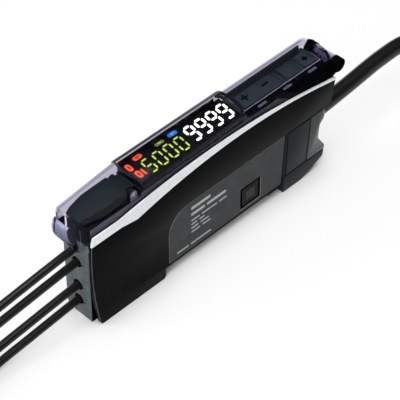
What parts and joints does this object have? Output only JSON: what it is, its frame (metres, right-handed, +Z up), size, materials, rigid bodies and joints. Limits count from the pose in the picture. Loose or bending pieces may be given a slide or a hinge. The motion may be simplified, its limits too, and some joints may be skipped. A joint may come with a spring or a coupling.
{
  "type": "fibre optic sensor amplifier",
  "caption": "Slim rail-mounted fibre optic sensor amplifier with a hinged smoked cover over its display and keys, fibre ports in front and a cable behind.",
  "frame": {"origin": "middle of the case's length and width, at the bottom of its feet", "axes": "+X from the fibre block towards the cable, +Y across the width, +Z up from the rail side to the cover"},
  "size_m": [0.359, 0.0256, 0.0385],
  "materials": {
    "black_plastic": "satin",
    "gloss_black": "gloss",
    "silver_trim": "satin",
    "label_film": "matt film",
    "dark_window": "gloss",
    "grey_plastic": "fine grain",
    "clamp_metal": "bright",
    "emitter_resin": "clear resin",
    "receiver_resin": "clear resin",
    "board": "solder mask",
    "display_glass": "gloss",
    "switch_metal": "bright",
    "lever_plastic": "satin",
    "steel": "bright",
    "key_rubber": "matt",
    "smoked_cover": "clear smoked",
    "cord_jacket": "satin",
    "tie_plastic": "satin",
    "head_metal": "plated"
  },
  "bodies": {
    "case": {"case": "black_plastic", "side_cover": "gloss_black", "trim_near": "silver_trim", "trim_far": "silver_trim", "label_near": "label_film", "window_near": "dark_window", "window_far": "dark_window", "front_block": "grey_plastic", "optic_holder": "black_plastic", "emitters": "emitter_resin", "receivers": "receiver_resin", "main_board": "board", "deck": "black_plastic", "display_module": "display_glass", "key_board": "board", "tact_switches": "switch_metal", "lever_pin": "steel", "rocker_pin": "steel", "hinge_pin": "steel", "hook_spring": "steel", "cable_gland": "cord_jacket", "cable": "cord_jacket", "cable_hank": "cord_jacket", "cable_tie": "tie_plastic", "fibre_1": "cord_jacket", "fibre_2": "cord_jacket", "fibre_3": "cord_jacket", "fibre_4": "cord_jacket", "fibre_hank": "cord_jacket", "fibre_tie": "tie_plastic", "head_1": "head_metal", "head_2": "head_metal", "head_3": "head_metal", "head_4": "head_metal"},
    "cover": {"cover": "smoked_cover"},
    "lever": {"lock_lever": "lever_plastic"},
    "clamp": {"fibre_clamp": "clamp_metal"},
    "rocker": {"rocker": "key_rubber"},
    "mode_button": {"mode_button": "key_rubber"},
    "select_button": {"select_button": "key_rubber"},
    "hook": {"rail_hook": "black_plastic"}
  },
  "joints": [
    {"name": "cover_hinge", "type": "hinge", "parent": "case", "child": "cover", "pos_m": [0.0401, 0, 0.0285], "axis": [0, 1, 0], "range_deg": [0, 120]},
    {"name": "lever_pivot", "type": "hinge", "parent": "case", "child": "lever", "pos_m": [-0.0238, 0, 0.0308], "axis": [0, 1, 0], "range_deg": [0, 60]},
    {"name": "clamp_slide", "type": "slide", "parent": "case", "child": "clamp", "axis": [0, 0, 1], "range_m": [0, 0.0008]},
    {"name": "rocker_tilt", "type": "hinge", "parent": "case", "child": "rocker", "pos_m": [0.0178, 0, 0.0284], "axis": [0, 1, 0], "range_deg": [-3, 3], "stiffness_Nm_per_rad": 0.05},
    {"name": "mode_press", "type": "slide", "parent": "case", "child": "mode_button", "axis": [0, 0, -1], "range_m": [0, 0.0004], "stiffness_N_per_m": 1500},
    {"name": "select_press", "type": "slide", "parent": "case", "child": "select_button", "axis": [0, 0, -1], "range_m": [0, 0.0004], "stiffness_N_per_m": 1500},
    {"name": "hook_slide", "type": "slide", "parent": "case", "child": "hook", "axis": [1, 0, 0], "range_m": [0, 0.002], "stiffness_N_per_m": 1500, "deforming": ["hook_spring"]}
  ],
  "couplings": [
    {"joint": "lever_pivot", "follows": "cover_hinge", "ratio": 0.5},
    {"joint": "clamp_slide", "follows": "cover_hinge", "m_per_rad": 0.00038}
  ]
}
